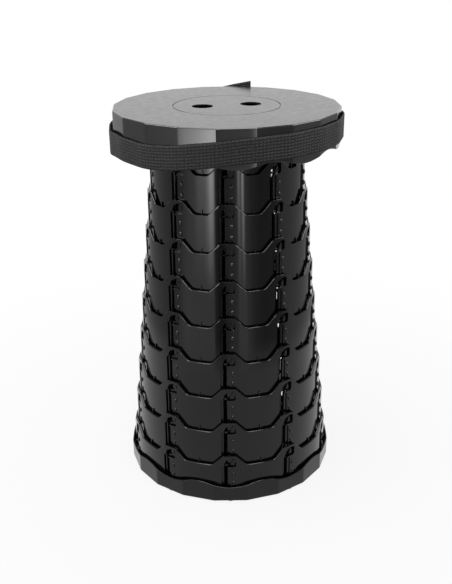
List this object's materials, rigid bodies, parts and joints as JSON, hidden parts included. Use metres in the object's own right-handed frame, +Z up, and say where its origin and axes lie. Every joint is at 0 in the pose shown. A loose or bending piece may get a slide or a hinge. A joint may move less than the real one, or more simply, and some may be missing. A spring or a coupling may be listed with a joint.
{
  "type": "collapsible telescopic stool",
  "caption": "Collapsible stool whose nested rings slide up between a flat base tray and a flat seat cap with two finger holes and a carry strap.",
  "frame": {"origin": "on the stool's axis at floor level, under the base tray, with the stool pulled out", "axes": "+Z up along the sliding axis, -Y to the front as pictured, +X to the viewer's right"},
  "size_m": [0.2658, 0.2645, 0.4575],
  "materials": {
    "ring_plastic": "moulded polypropylene, satin gloss, black",
    "seat_plastic": "moulded polypropylene with a fine spark-eroded grain, dark grey",
    "webbing": "woven polypropylene webbing, black",
    "slider_plastic": "moulded acetal, black",
    "screw_steel": "zinc-plated steel"
  },
  "bodies": {
    "base": {"base_tray": "ring_plastic", "ring_01": "ring_plastic"},
    "ring_02": {"ring_02": "ring_plastic"},
    "ring_03": {"ring_03": "ring_plastic"},
    "ring_04": {"ring_04": "ring_plastic"},
    "ring_05": {"ring_05": "ring_plastic"},
    "ring_06": {"ring_06": "ring_plastic"},
    "ring_07": {"ring_07": "ring_plastic"},
    "ring_08": {"ring_08": "ring_plastic"},
    "ring_09": {"ring_09": "ring_plastic"},
    "seat": {"ring_10": "ring_plastic", "seat_cap": "seat_plastic", "centre_disc": "seat_plastic", "seat_screw_1": "screw_steel", "seat_screw_2": "screw_steel", "seat_screw_3": "screw_steel", "seat_screw_4": "screw_steel", "seat_screw_5": "screw_steel", "carry_strap": "webbing", "strap_slider": "slider_plastic", "strap_tail": "webbing"}
  },
  "joints": [
    {"name": "ring_02_slide", "type": "slide", "parent": "base", "child": "ring_02", "axis": [0, 0, 1], "range_m": [-0.0427, 0]},
    {"name": "ring_03_slide", "type": "slide", "parent": "ring_02", "child": "ring_03", "axis": [0, 0, 1], "range_m": [-0.0427, 0]},
    {"name": "ring_04_slide", "type": "slide", "parent": "ring_03", "child": "ring_04", "axis": [0, 0, 1], "range_m": [-0.0427, 0]},
    {"name": "ring_05_slide", "type": "slide", "parent": "ring_04", "child": "ring_05", "axis": [0, 0, 1], "range_m": [-0.0427, 0]},
    {"name": "ring_06_slide", "type": "slide", "parent": "ring_05", "child": "ring_06", "axis": [0, 0, 1], "range_m": [-0.0427, 0]},
    {"name": "ring_07_slide", "type": "slide", "parent": "ring_06", "child": "ring_07", "axis": [0, 0, 1], "range_m": [-0.0427, 0]},
    {"name": "ring_08_slide", "type": "slide", "parent": "ring_07", "child": "ring_08", "axis": [0, 0, 1], "range_m": [-0.0427, 0]},
    {"name": "ring_09_slide", "type": "slide", "parent": "ring_08", "child": "ring_09", "axis": [0, 0, 1], "range_m": [-0.0427, 0]},
    {"name": "seat_slide", "type": "slide", "parent": "ring_09", "child": "seat", "axis": [0, 0, 1], "range_m": [-0.0427, 0]}
  ]
}
